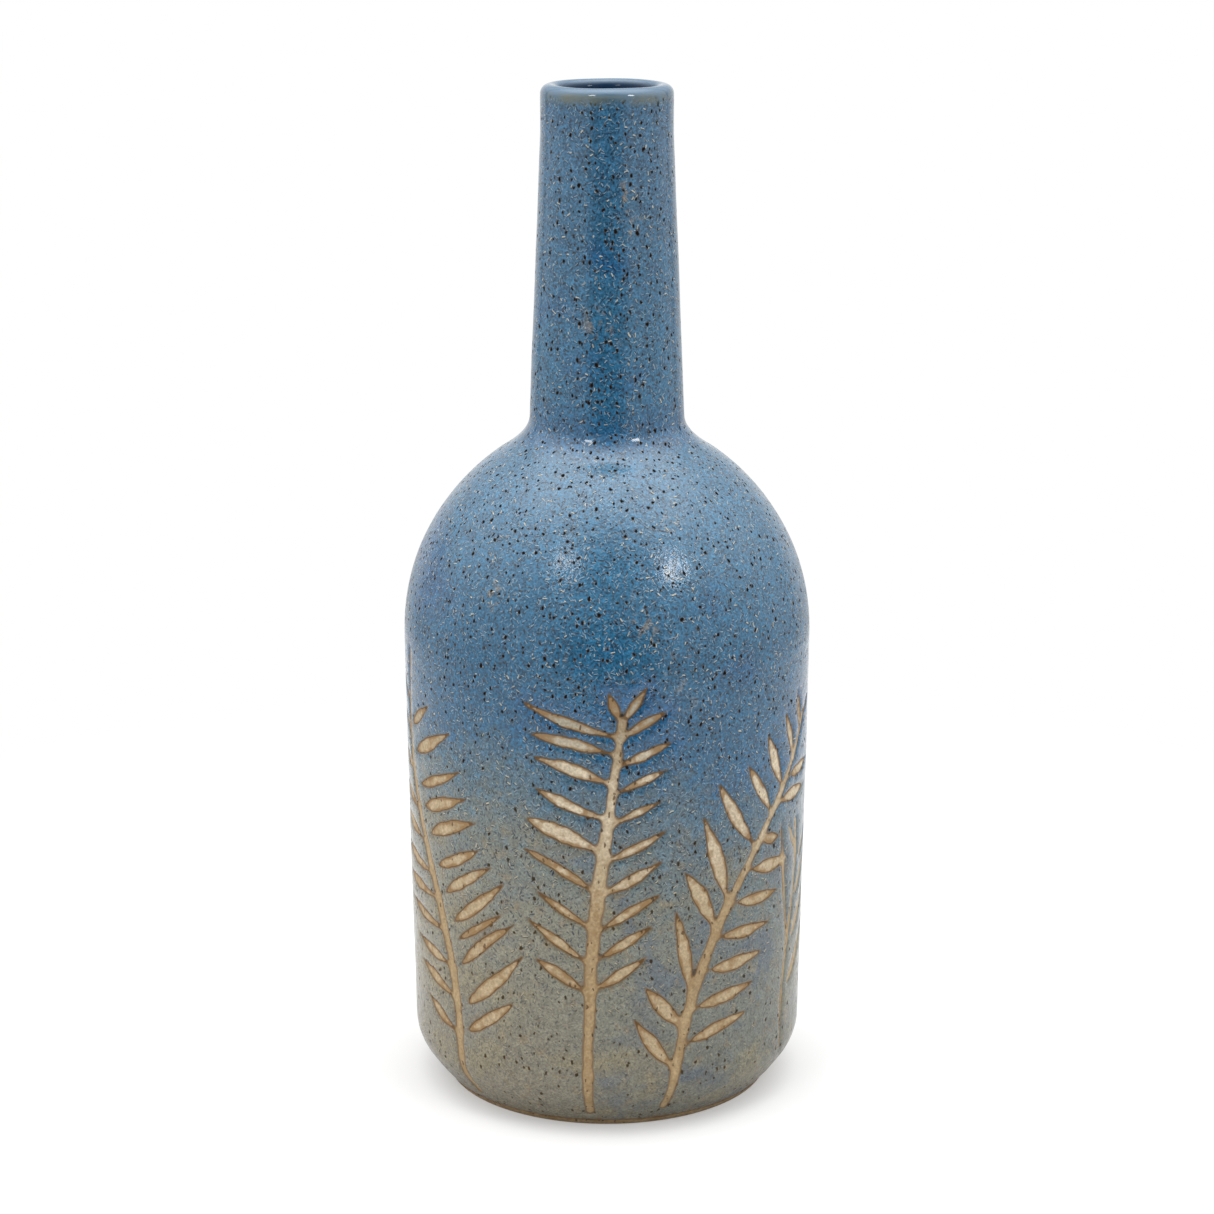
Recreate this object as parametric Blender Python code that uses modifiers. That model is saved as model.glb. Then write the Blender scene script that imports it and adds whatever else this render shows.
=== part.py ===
"""Stoneware bud vase: a thrown body, a neck luted on with a coil, and glaze with leaf sprigs left bare.

Metres, +Z up. The origin is the middle of the foot, on the table, and the front faces -Y.
Run with: blender --background --python part.py
"""

import math
from dataclasses import dataclass, replace

import bmesh
import bpy
from mathutils import Matrix, Vector

# Outer form, measured on the finished glaze
HEIGHT = 0.250
LIP_RADIUS = 0.0161
LIP_BAND = 0.012
SHOULDER_HEIGHT = 0.1652
NECK_BASE_RADIUS = 0.0192
SHOULDER_ROUND = 0.0043
DOME_SPAN = 0.0582
BODY_HEIGHT = 0.116
BODY_RADIUS = 0.0505
WALL_FOOT_RADIUS = 0.0489
BEVEL_HEIGHT = 0.0107
BEVEL_ROUND = 0.0042
BASE_RADIUS = 0.0410

# Thicknesses: LIP_WALL and NECK_WALL count the glaze, BODY_WALL and FLOOR are clay alone
LIP_WALL = 0.0048
NECK_WALL = 0.0056
BODY_WALL = 0.0050
FLOOR = 0.0070
FLOOR_ROUND = 0.0090
GLAZE = 0.0005
CLEARANCE = 0.0003

# Foot and the edges of the glaze
FOOT_RING = 0.0090
FOOT_RECESS = 0.0020
GLAZE_STOP = 0.0012
MOUTH_GLAZE = 0.010

# Leaf sprigs: strokes of the brush
STEM_WIDTH_FOOT = 0.0026
STEM_WIDTH_MIDDLE = 0.0036
STEM_WIDTH_TIP = 0.0016
LEAF_WIDTH = 0.0040
PETIOLE_WIDTH = 0.0012
STROKE_DEPTH = 0.0045

# Fractions of a leaf's length from its root, and its width there
LEAF_OUTLINE = ((0.0, PETIOLE_WIDTH), (0.42, LEAF_WIDTH), (0.74, LEAF_WIDTH * 2 / 3))

# Facets
TURN_STEPS = 36
LIP_STEPS = 6
DOME_STEPS = 6
WALL_STEPS = 3
ROUND_STEPS = 3
STEM_STEPS = 8

# The wall leans in along a power curve, so that it leaves the dome upright
WALL_POWER = 1.25

# Depth of the clay under the finished glaze
CLAY = GLAZE + CLEARANCE

# Points nearer than this are one point
WELD = 0.00001


@dataclass
class Sprig:
    """One leafy stem. Angles are degrees round the vase from the front, or from straight up for the leaves."""

    stem: tuple  # angles of the stem's foot, two handles and tip
    foot: float  # heights of the stem's ends
    tip: float
    first_leaf: float  # heights of the lowest and highest pairs
    last_leaf: float
    pairs: int
    left_length: tuple  # lowest and highest leaf
    right_length: tuple
    left_angle: tuple
    right_angle: tuple
    leader: float  # length of the leaf that ends the stem


CENTRE_SPRIG = Sprig(
    stem=(-5.5, -5.0, -3.0, 4.5),
    foot=0.0045,
    tip=0.1055,
    first_leaf=0.0375,
    last_leaf=0.1010,
    pairs=9,
    left_length=(0.0185, 0.0225),
    right_length=(0.0185, 0.0150),
    left_angle=(-57, -75),
    right_angle=(58, 67),
    leader=0.0090,
)
LEFT_SPRIG = Sprig(
    stem=(-46, -44, -76, -76),
    foot=0.0045,
    tip=0.1060,
    first_leaf=0.0215,
    last_leaf=0.0960,
    pairs=11,
    left_length=(0.0150, 0.0170),
    right_length=(0.0230, 0.0180),
    left_angle=(-66, -80),
    right_angle=(50, 66),
    leader=0.0080,
)
RIGHT_SPRIG = Sprig(
    stem=(18, 18, 43, 76),
    foot=0.0050,
    tip=0.1000,
    first_leaf=0.0200,
    last_leaf=0.0910,
    pairs=9,
    left_length=(0.0180, 0.0175),
    right_length=(0.0185, 0.0130),
    left_angle=(-38, -24),
    right_angle=(76, 92),
    leader=0.0070,
)
EDGE_SPRIG = Sprig(
    stem=(70, 70, 78, 82),
    foot=0.0080,
    tip=0.0720,
    first_leaf=0.0260,
    last_leaf=0.0650,
    pairs=6,
    left_length=(0.0100, 0.0080),
    right_length=(0.0180, 0.0140),
    left_angle=(-40, -34),
    right_angle=(58, 66),
    leader=0.0060,
)
BACK_RIGHT_SPRIG = replace(CENTRE_SPRIG, stem=(128, 127, 122, 118), pairs=7)
BACK_SPRIG = replace(CENTRE_SPRIG, stem=(168, 169, 174, 178), pairs=7)
BACK_LEFT_SPRIG = replace(CENTRE_SPRIG, stem=(222, 221, 226, 228), pairs=7)
SPRIGS = {
    "centre": CENTRE_SPRIG,
    "left": LEFT_SPRIG,
    "right": RIGHT_SPRIG,
    "edge": EDGE_SPRIG,
    "back_right": BACK_RIGHT_SPRIG,
    "back": BACK_SPRIG,
    "back_left": BACK_LEFT_SPRIG,
}


def steps(count):
    """Fractions from 0 to 1 with both ends."""
    return [i / count for i in range(count + 1)]


def mix(a, b, t):
    return a + (b - a) * t


def rounded(before, corner, after, leg):
    """A corner of an outline, rounded by a quadratic curve that starts and ends a leg away from it."""
    corner = Vector(corner)
    start = corner + (Vector(before) - corner).normalized() * leg
    end = corner + (Vector(after) - corner).normalized() * leg
    return [
        tuple(start * (1 - t) ** 2 + corner * (2 * t * (1 - t)) + end * t**2)
        for t in steps(ROUND_STEPS)
    ]


def inset(outline, depth):
    """The outline moved to the right of its direction of travel, with mitred corners."""
    points = [Vector(p) for p in outline]
    sides = [(b - a).normalized() for a, b in zip(points, points[1:])]
    normals = [Vector((s.y, -s.x)) for s in sides]
    pairs = zip([normals[0]] + normals, normals + [normals[-1]])
    mitres = [(a + b) / (1 + a.dot(b)) for a, b in pairs]
    return [tuple(p + m * depth) for p, m in zip(points, mitres)]


def cut_at(outline, height):
    """The outline down to a height, ended there by a point of its own."""
    kept = [p for p in outline if p[1] > height]
    (r0, z0), (r1, z1) = outline[len(kept) - 1], outline[len(kept)]
    return kept + [(mix(r0, r1, (z0 - height) / (z0 - z1)), height)]


def dome_axis():
    """Half height of the dome's ellipse, which meets the neck at the shoulder."""
    cosine = (NECK_BASE_RADIUS - BODY_RADIUS + DOME_SPAN) / DOME_SPAN
    return (SHOULDER_HEIGHT - BODY_HEIGHT) / math.sqrt(1 - cosine**2)


def dome_angle(radius, depth=0.0):
    """Angle on the dome, from its widest line up, where it has a radius."""
    return math.acos((radius - BODY_RADIUS + DOME_SPAN) / (DOME_SPAN - depth))


def dome_point(angle, depth=0.0):
    return (
        BODY_RADIUS - DOME_SPAN + (DOME_SPAN - depth) * math.cos(angle),
        BODY_HEIGHT + (dome_axis() - depth) * math.sin(angle),
    )


def wall_point(height):
    """The wall between the dome's widest line and the bevel."""
    t = (BODY_HEIGHT - height) / (BODY_HEIGHT - BEVEL_HEIGHT)
    return (mix(BODY_RADIUS, WALL_FOOT_RADIUS, t**WALL_POWER), height)


def bore_radius(height):
    """Finished bore of the neck, which widens from the lip to the shoulder."""
    t = (HEIGHT - height) / (HEIGHT - SHOULDER_HEIGHT)
    return mix(LIP_RADIUS - LIP_WALL, NECK_BASE_RADIUS - NECK_WALL, t)


def outline_runs():
    """The finished surface from inside the mouth, over the lip and down past the table, in named runs."""
    roll = LIP_WALL / 2
    mouth_end = HEIGHT - MOUTH_GLAZE
    lip = [(bore_radius(mouth_end), mouth_end)]
    for t in steps(LIP_STEPS):
        turn = math.pi * t
        lip.append((LIP_RADIUS - roll - roll * math.cos(turn), HEIGHT - roll + roll * math.sin(turn)))
    band = (LIP_RADIUS, HEIGHT - LIP_BAND)
    shoulder_angle = dome_angle(NECK_BASE_RADIUS)
    pace = math.hypot(DOME_SPAN * math.sin(shoulder_angle), dome_axis() * math.cos(shoulder_angle))
    dome_start = shoulder_angle - SHOULDER_ROUND / pace
    shoulder = rounded(band, (NECK_BASE_RADIUS, SHOULDER_HEIGHT), dome_point(dome_start), SHOULDER_ROUND)
    dome = [dome_point(dome_start * (1 - t)) for t in steps(DOME_STEPS)[1:]]
    bevel_corner = (WALL_FOOT_RADIUS, BEVEL_HEIGHT)
    heights = [mix(BODY_HEIGHT, BEVEL_HEIGHT + BEVEL_ROUND, t) for t in steps(WALL_STEPS)[1:-1]]
    wall = [wall_point(height) for height in heights]
    bevel = rounded(wall_point(BEVEL_HEIGHT + BEVEL_ROUND), bevel_corner, (BASE_RADIUS, 0), BEVEL_ROUND)
    below = mix(BASE_RADIUS, WALL_FOOT_RADIUS, -CLAY / BEVEL_HEIGHT)
    return {
        "neck": lip + [band],
        "shoulder": shoulder,
        "body": dome + wall + bevel + [(below, -CLAY)],
    }


def layer(depth):
    """The runs of the outline, set in from the finished glaze by a depth."""
    runs = outline_runs()
    moved = iter(inset(sum(runs.values(), []), depth))
    return {name: [next(moved) for _ in run] for name, run in runs.items()}


def hollow():
    """The clay's inner surface, from the lower edge of the mouth's glaze to the middle of the floor."""
    depth = CLAY + BODY_WALL
    top = HEIGHT - MOUTH_GLAZE - CLEARANCE
    floor = FOOT_RECESS + FLOOR
    throat = bore_radius(SHOULDER_HEIGHT) + CLAY
    start = dome_angle(throat, depth)
    dome = [dome_point(start * (1 - t), depth) for t in steps(DOME_STEPS - 1)]
    foot = (wall_point(floor)[0] - depth, floor)
    corner = rounded(dome[-1], foot, (0, floor), FLOOR_ROUND)
    return [(bore_radius(top) + CLAY, top)] + dome + corner + [(0, floor)]


def collection(name):
    made = bpy.data.collections.new(name)
    bpy.context.scene.collection.children.link(made)
    return made


def material(name, colour, roughness):
    made = bpy.data.materials.new(name)
    made.use_nodes = True
    shader = made.node_tree.nodes["Principled BSDF"]
    shader.inputs["Base Color"].default_value = (*colour, 1.0)
    shader.inputs["Roughness"].default_value = roughness
    made.diffuse_color = (*colour, 1.0)
    return made


def turned(name, profile, closed, finish):
    """A turned piece: its profile, given down the outer side, swept round the axis."""
    edges = [(i, i + 1) for i in range(len(profile) - 1)]
    if closed:
        edges.append((len(profile) - 1, 0))
    mesh = bpy.data.meshes.new(name)
    mesh.from_pydata([(r, 0, z) for r, z in profile], edges, [])
    mesh.materials.append(finish)
    obj = bpy.data.objects.new(name, mesh)
    screw = obj.modifiers.new("turn", "SCREW")
    screw.steps = screw.render_steps = TURN_STEPS
    screw.use_merge_vertices = True
    screw.merge_threshold = WELD
    screw.use_smooth_shade = True
    return obj


def seat_angles():
    """Angles on the dome of the neck's seat: its inner edge, middle and outer edge."""
    inner = dome_angle(hollow()[1][0], CLAY)
    outer = dome_angle(layer(CLAY)["shoulder"][-1][0], CLAY)
    return inner, (inner + outer) / 2, outer


def make_body(clay):
    """Floor, wall and domed shoulder, thrown in one, with a turned foot and a sloping seat for the neck."""
    outer = cut_at(layer(CLAY)["body"], 0.0)
    inner = hollow()[1:]
    seat = [dome_point(angle, CLAY) for angle in seat_angles()]
    ring = outer[-1][0] - FOOT_RING
    recess = [(ring, 0), (ring - FOOT_RECESS, FOOT_RECESS), (0, FOOT_RECESS)]
    return turned("body", inner[::-1] + seat + outer + recess, False, clay)


def joint_height():
    """Where the neck stands on the luting coil: the top of the rounded shoulder."""
    return layer(CLAY)["shoulder"][0][1]


def make_neck(clay):
    """Tapered tube with a rolled lip, open at both ends."""
    outer = layer(CLAY)["neck"]
    outer.append(layer(CLAY)["shoulder"][0])
    bottom = joint_height()
    return turned("neck", [(bore_radius(bottom) + CLAY, bottom)] + outer, True, clay)


def make_luting_coil(slip):
    """Coil of soft clay worked into the joint: it fills the wedge under the neck and rounds the shoulder."""
    throat = hollow()[1][0]
    top = joint_height() - CLEARANCE
    seat_inner, seat_middle, _ = seat_angles()
    face = layer(CLAY)["shoulder"]
    edge = (face[0][0], top)
    heel = (face[-1][0] - CLEARANCE, face[-1][1] + CLEARANCE)
    middle = dome_point(seat_middle, CLAY - CLEARANCE)
    toe = (throat, dome_point(seat_inner, CLAY)[1] + CLEARANCE)
    return turned("luting_coil", [(throat, top), edge] + face[1:-1] + [heel, middle, toe], True, slip)


def make_outer_glaze(glaze):
    """One coat from the foot, over the lip and into the mouth."""
    face = cut_at(sum(layer(0.0).values(), []), GLAZE_STOP)
    back = cut_at(sum(layer(GLAZE).values(), []), GLAZE_STOP)
    return turned("outer_glaze", face + back[::-1], True, glaze)


def make_lining_glaze(glaze):
    """Poured lining that makes the vase hold water, from the floor up to the mouth's own glaze."""
    face = inset(hollow(), CLAY)
    back = inset(hollow(), CLEARANCE)
    return turned("lining_glaze", face[::-1] + back, False, glaze)


def surface_point(angle, height):
    """A point of the finished body and its outward normal."""
    outline = outline_runs()["body"]
    below = next(i for i, p in enumerate(outline) if p[1] <= height)
    (r0, z0), (r1, z1) = outline[below - 1], outline[below]
    radius = mix(r0, r1, (z0 - height) / (z0 - z1))
    turn = math.radians(angle)
    out = Vector((math.sin(turn), -math.cos(turn), 0))
    normal = (out * (z0 - z1) + Vector((0, 0, r1 - r0))).normalized()
    return out * radius + Vector((0, 0, height)), normal


def stem_angle(sprig, t):
    """Cubic curve through the stem's foot and tip, drawn towards its handles."""
    a, b, c, d = sprig.stem
    s = 1 - t
    return a * s**3 + 3 * b * s**2 * t + 3 * c * s * t**2 + d * t**3


def stem_place(sprig, height):
    """Angle of the stem at a height."""
    return stem_angle(sprig, (height - sprig.foot) / (sprig.tip - sprig.foot))


def to_mesh(curve):
    """A mesh object with welded caps in place of a curve object, so that it can cut."""
    bpy.context.view_layer.update()
    graph = bpy.context.evaluated_depsgraph_get()
    mesh = bpy.data.meshes.new_from_object(curve.evaluated_get(graph))
    weld = bmesh.new()
    weld.from_mesh(mesh)
    bmesh.ops.remove_doubles(weld, verts=weld.verts, dist=WELD)
    bmesh.ops.recalc_face_normals(weld, faces=weld.faces)
    weld.to_mesh(mesh)
    weld.free()
    obj = bpy.data.objects.new(curve.name, mesh)
    obj.matrix_world = curve.matrix_world
    for group in curve.users_collection:
        group.objects.link(obj)
    bpy.data.objects.remove(curve)
    obj.hide_render = True
    obj.display_type = "WIRE"
    return obj


def cut_stem(name, sprig, cutters):
    """A tapering tube along the stem, half sunk in the glaze."""
    data = bpy.data.curves.new(name, "CURVE")
    data.dimensions = "3D"
    data.bevel_depth = 1.0
    data.bevel_resolution = 1
    data.use_fill_caps = True
    fractions = steps(STEM_STEPS)
    if sprig.foot < BEVEL_HEIGHT:
        fractions.insert(1, (BEVEL_HEIGHT - sprig.foot) / (sprig.tip - sprig.foot))
    spline = data.splines.new("POLY")
    spline.points.add(len(fractions) - 1)
    for t, point in zip(fractions, spline.points):
        place, normal = surface_point(stem_angle(sprig, t), mix(sprig.foot, sprig.tip, t))
        point.co = (*(place - normal * GLAZE / 2), 1.0)
        ends = mix(STEM_WIDTH_FOOT, STEM_WIDTH_TIP, t)
        swell = STEM_WIDTH_MIDDLE - mix(STEM_WIDTH_FOOT, STEM_WIDTH_TIP, 0.5)
        point.radius = (ends + swell * math.sin(math.pi * t)) / 2
    curve = bpy.data.objects.new(name, data)
    cutters.objects.link(curve)
    to_mesh(curve)


def cut_leaf(name, root, lean, length, cutters):
    """A leaf-shaped plug set through the glaze, from its root on the stem to its tip."""
    angle, height = root
    run = length * math.sin(math.radians(lean))
    rise = length * math.cos(math.radians(lean))
    spread = math.degrees(run / BODY_RADIUS)
    start = surface_point(angle, height)[0]
    end = surface_point(angle + spread, height + rise)[0]
    middle, normal = surface_point(angle + spread / 2, height + rise / 2)
    along = (end - start).normalized()
    across = normal.cross(along).normalized()
    out = along.cross(across)
    reach = (end - start).length
    half = [(place * reach, width / 2) for place, width in LEAF_OUTLINE]
    loop = half + [(reach, 0)] + [(x, -y) for x, y in half[::-1]]
    data = bpy.data.curves.new(name, "CURVE")
    data.dimensions = "2D"
    data.fill_mode = "BOTH"
    data.extrude = STROKE_DEPTH / 2
    spline = data.splines.new("POLY")
    spline.points.add(len(loop) - 1)
    spline.use_cyclic_u = True
    for (x, y), point in zip(loop, spline.points):
        point.co = (x - reach / 2, y, 0, 1)
    curve = bpy.data.objects.new(name, data)
    centre = (middle + (start + end) / 2) / 2
    curve.matrix_world = Matrix((along, across, out)).transposed().to_4x4()
    curve.matrix_world.translation = centre
    cutters.objects.link(curve)
    to_mesh(curve)


def cut_sprig(name, sprig, cutters):
    cut_stem(name + "_stem", sprig, cutters)
    for i, t in enumerate(steps(sprig.pairs - 1)):
        height = mix(sprig.first_leaf, sprig.last_leaf, t)
        root = (stem_place(sprig, height), height)
        for side, angles, lengths in (
            ("left", sprig.left_angle, sprig.left_length),
            ("right", sprig.right_angle, sprig.right_length),
        ):
            cut_leaf(f"{name}_{side}_{i}", root, mix(*angles, t), mix(*lengths, t), cutters)
    cut_leaf(name + "_leader", (stem_angle(sprig, 1.0), sprig.tip), 0.0, sprig.leader, cutters)


def main():
    for obj in list(bpy.data.objects):
        bpy.data.objects.remove(obj)
    parts = collection("bud_vase")
    cutters = collection("bud_vase_cutters")
    clay = material("buff_stoneware", (0.52, 0.41, 0.28), 0.8)
    slip = material("joint_clay", (0.45, 0.35, 0.24), 0.85)
    blue = material("blue_glaze", (0.13, 0.25, 0.42), 0.2)
    lining = material("dark_blue_lining", (0.06, 0.12, 0.22), 0.2)
    stand = bpy.data.objects.new("bud_vase", None)
    parts.objects.link(stand)
    outer_glaze = make_outer_glaze(blue)
    pieces = [make_body(clay), make_neck(clay), make_luting_coil(slip), outer_glaze, make_lining_glaze(lining)]
    for piece in pieces:
        parts.objects.link(piece)
        piece.parent = stand
    for name, sprig in SPRIGS.items():
        cut_sprig(name, sprig, cutters)
    windows = outer_glaze.modifiers.new("leaf_windows", "BOOLEAN")
    windows.operation = "DIFFERENCE"
    windows.operand_type = "COLLECTION"
    windows.collection = cutters
    windows.solver = "EXACT"


main()
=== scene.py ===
"""Looks of a stoneware bud vase: speckled blue glaze, with leaf sprigs left in bare clay.

Blender 4.5. Metres, +Z up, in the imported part's frame: the origin is the middle of the foot, on
the table, and the front faces -Y. The glaze and the clay under it are drawn on a flat sheet that
is unrolled round the body, where x is the way round and y the height. The sheet is cut along the
edges of the sprigs, and wrapped onto the turned form.
"""

import math
from dataclasses import dataclass, replace

import bmesh
import bpy
import numpy as np
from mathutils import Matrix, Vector
from mathutils.geometry import delaunay_2d_cdt


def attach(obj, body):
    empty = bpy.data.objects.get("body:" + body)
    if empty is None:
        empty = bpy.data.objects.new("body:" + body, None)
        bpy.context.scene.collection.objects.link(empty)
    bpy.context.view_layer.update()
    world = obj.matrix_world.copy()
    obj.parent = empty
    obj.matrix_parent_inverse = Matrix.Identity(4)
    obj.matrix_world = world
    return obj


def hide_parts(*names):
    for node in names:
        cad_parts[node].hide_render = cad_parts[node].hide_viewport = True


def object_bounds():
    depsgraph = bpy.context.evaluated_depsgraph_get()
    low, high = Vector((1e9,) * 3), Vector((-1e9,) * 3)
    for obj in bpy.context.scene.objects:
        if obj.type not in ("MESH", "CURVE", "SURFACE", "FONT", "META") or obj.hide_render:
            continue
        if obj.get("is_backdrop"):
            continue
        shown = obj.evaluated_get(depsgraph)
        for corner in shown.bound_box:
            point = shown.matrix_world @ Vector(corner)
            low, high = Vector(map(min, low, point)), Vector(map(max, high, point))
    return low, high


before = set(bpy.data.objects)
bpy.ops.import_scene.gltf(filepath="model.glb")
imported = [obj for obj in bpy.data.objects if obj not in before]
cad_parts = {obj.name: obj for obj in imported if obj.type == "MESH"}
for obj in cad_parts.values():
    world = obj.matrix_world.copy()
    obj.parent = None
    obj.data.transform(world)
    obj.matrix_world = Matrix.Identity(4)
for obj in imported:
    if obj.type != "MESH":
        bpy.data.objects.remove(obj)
cad_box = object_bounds()

MM = 0.001

# Outer form, as in the part's source, apart from the spread of the shoulder's crease
HEIGHT = 0.250
LIP_RADIUS = 0.0161
LIP_BAND = 0.012
LIP_WALL = 0.0048
NECK_WALL = 0.0056
SHOULDER_HEIGHT = 0.1652
NECK_BASE_RADIUS = 0.0192
SHOULDER_ROUND = 0.0043
SHOULDER_SPREAD = 0.0090
DOME_SPAN = 0.0582
BODY_HEIGHT = 0.116
BODY_RADIUS = 0.0505
WALL_FOOT_RADIUS = 0.0489
WALL_POWER = 1.25
BEVEL_HEIGHT = 0.0107
BEVEL_ROUND = 0.0042
BASE_RADIUS = 0.0410
MOUTH_GLAZE = 0.010
GLAZE_STOP = 0.0012

# Clay inside the glaze
CLAY_DEPTH = 0.0008
BODY_WALL = 0.0050
FLOOR = 0.0070
FLOOR_ROUND = 0.0090
FOOT_RING = 0.0090
FOOT_RECESS = 0.0020

# The coat's edge: how far it drops to the clay, over which width, and how uneven the coat is
EDGE_DROP = 0.00028
EDGE_WIDTH = 0.0008
UNEVEN = 0.00008
# The waves of its unevenness: times round the vase, radians per metre of height, and phase
WAVES = ((2, 41, 0.6), (3, -96, 2.1), (5, 150, 4.0), (0, 260, 0.9))

# The sheet: its top, its cells, where its two sides meet, and how far from a stroke it is measured
SHEET_TOP = 0.120
CELL = 0.0005
SHEET_CELLS = round(2 * math.pi * BODY_RADIUS / CELL)
CELL_X = 2 * math.pi * BODY_RADIUS / SHEET_CELLS
SEAM = math.radians(-165)
FAR = 0.005

# Its mesh: columns round the vase, steps along the seam, rows of points at these distances from the
# sprigs' edges, and the spacing of the other points, where they show and where they are hidden
COLUMNS = 256
SEAM_STEP = 2 * MM
GLAZE_RINGS = (0.00035, 0.0008)
GLAZE_SPACING = 1.6 * MM
CLAY_RINGS = (-0.0004, -0.0009)
CLAY_SPACING = 1.2 * MM
HIDDEN_SPACING = 4 * MM
# A cut leaves at least this share of a cell's side, and points this near are one
CUT_MARGIN = 0.12
WELD = 0.002 * MM

# Strokes: the web where two of them meet, and the waver of their edges
WEB = 0.0016
EDGE_WOBBLE = 0.00010
WOBBLE_LENGTH = 0.0030
SEED = 11

# Half width of a leaf from the end of its stalk to its tip, as a share of its widest
LEAF_FORM = (
    (0.24, 0.54), (0.36, 0.86), (0.50, 1.00), (0.64, 0.92),
    (0.80, 0.58), (0.92, 0.26), (1.00, 0.04),
)
# The stalk's share of a leaf, a leaf's bend in degrees, and how finely strokes are drawn
STALK = 0.14
LEAF_BEND = 7.0
LEAF_POINTS = 15
STEM_POINTS = 60
STEM_SMOOTHING = 4

# Camera of the photograph
CAMERA_PLACE = (0.0, -0.7344, 0.3156)
CAMERA_PITCH = 14.85
CAMERA_LENS = 90.47
SENSOR_WIDTH = 36.0


@dataclass
class Sprig:
    """One leafy stem, in millimetres and degrees.

    The stem is places (angle round the vase from the front, height), and its widths are (share of
    its length from the foot, width). A leaf is (height of its root, length, lean from upright,
    width). The stalks are the root's share of a leaf's width, for the leaves at the left and at the
    right; a share below 0 leaves a gap at the stem.
    """

    stem: tuple
    widths: tuple
    left: tuple
    right: tuple
    stalks: tuple


CENTRE = Sprig(
    stem=(
        (-5.3, 4.9), (-5.6, 17), (-4.8, 37), (-4.4, 47), (-2.4, 64),
        (0.1, 80), (2.2, 94), (4.1, 106),
    ),
    widths=((0.00, 2.1), (0.10, 2.5), (0.62, 3.5), (0.80, 2.4), (1.00, 1.3)),
    left=(
        (37, 17, -59, 2.7), (45, 20, -57, 2.3), (54, 17, -58, 2.2), (63, 21, -61, 2.4),
        (73.5, 21, -69, 4.4), (82, 20, -68, 2.9), (90.6, 20, -73, 3.2), (98, 23, -79, 2.7),
        (102.4, 24.5, -72, 2.5), (105.5, 8.3, -23, 2.3),
    ),
    right=(
        (38, 16.5, 58, 2.8), (45.5, 17.4, 59, 2.5), (53, 18.8, 60, 2.4), (62.6, 17.7, 62, 3.0),
        (71, 17.2, 64, 2.4), (80, 15.6, 66, 1.8), (88, 15, 67, 1.9), (95, 15.3, 68, 2.6),
        (102, 13, 62, 2.4), (105.5, 10.6, 34, 2.3),
    ),
    stalks=(0.30, 0.20),
)
LEFT = Sprig(
    stem=(
        (-46, 4.4), (-48, 14), (-48, 25), (-51, 40), (-57, 54),
        (-64.5, 68), (-72, 80), (-76, 93), (-75, 107),
    ),
    widths=((0.00, 1.6), (0.15, 2.7), (0.50, 2.7), (0.80, 2.1), (1.00, 1.0)),
    left=(
        (20.5, 16.6, -68, 2.9), (29.3, 18.6, -75, 2.8), (37.6, 19, -82, 2.9), (46, 22, -84, 2.8),
        (53.5, 25, -89, 2.8), (59.5, 23, -85, 2.8), (66.5, 21, -82, 2.8), (74, 19, -76, 2.8),
        (83, 17, -70, 2.8), (92, 15, -66, 2.6), (100, 13, -60, 2.4),
    ),
    right=(
        (20.2, 22.4, 55, 3.1), (26.6, 28.5, 48, 3.7), (35.9, 27, 50, 3.2), (42.9, 23.6, 57, 2.0),
        (47.1, 27.0, 52, 3.2), (54, 23.8, 58, 2.9), (61, 22.3, 64, 3.0), (68, 24, 68, 3.6),
        (75, 24, 71, 3.4), (80, 24.7, 68, 2.8), (87.4, 24, 64, 3.6), (94, 15.4, 57, 2.8),
        (107, 8, 8, 1.8),
    ),
    stalks=(0.26, -0.35),
)
RIGHT = Sprig(
    stem=(
        (18, 5.6), (19.5, 15), (23.3, 30.5), (25.5, 37), (32.7, 52),
        (42, 64.6), (52, 75), (64, 86), (74, 97),
    ),
    widths=((0.00, 2.0), (0.12, 2.6), (0.40, 2.8), (0.65, 2.2), (1.00, 1.4)),
    left=(
        (16.5, 17.5, -37, 3.5), (27, 15.5, -41, 4.0), (34.2, 23.7, -11, 3.6),
        (50.6, 19.4, -29, 4.2), (56.7, 24.9, -18, 4.2), (69.5, 23.7, -33, 3.8),
        (76.6, 17.3, -34, 3.2), (81.8, 17.4, -25, 3.6), (88.3, 13.5, -22, 2.8), (94, 11, -13, 2.4),
    ),
    right=(
        (22.3, 20.7, 76, 3.4), (31.5, 20.2, 81, 3.7), (41, 20.3, 87, 3.6), (49.2, 19.1, 91, 3.3),
        (57.3, 18.3, 93, 3.4), (64.6, 19, 94, 3.8), (71.5, 8, 100, 2.8), (78.5, 19, 91, 3.4),
        (84, 17, 89, 3.0), (97, 7, 60, 1.8),
    ),
    stalks=(0.30, 0.10),
)
EDGE = Sprig(
    stem=((62.6, 12), (62.4, 25), (64, 35), (67.5, 46), (70.5, 57), (71.5, 66), (70, 71)),
    widths=((0.00, 0.6), (0.30, 1.2), (1.00, 1.5)),
    left=((40, 34, -9, 1.5), (62, 11, -34, 1.5)),
    right=((26, 24, 48, 3.0), (37, 24, 50, 3.0), (48, 23, 52, 2.8), (58, 21, 54, 2.6)),
    stalks=(0.70, -0.60),
)


def turned_sprig(sprig, turn, scale):
    """A copy of a sprig further round the vase, with its leaves longer or shorter."""

    def scaled(leaves):
        return tuple((root, length * scale, lean, width) for root, length, lean, width in leaves)

    return replace(
        sprig,
        stem=tuple((angle + turn, height) for angle, height in sprig.stem),
        left=scaled(sprig.left),
        right=scaled(sprig.right),
    )


SPRIGS = (
    CENTRE,
    LEFT,
    RIGHT,
    EDGE,
    turned_sprig(CENTRE, 126, 0.88),
    turned_sprig(CENTRE, 174, 0.92),
    turned_sprig(CENTRE, -131, 0.90),
)


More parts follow.
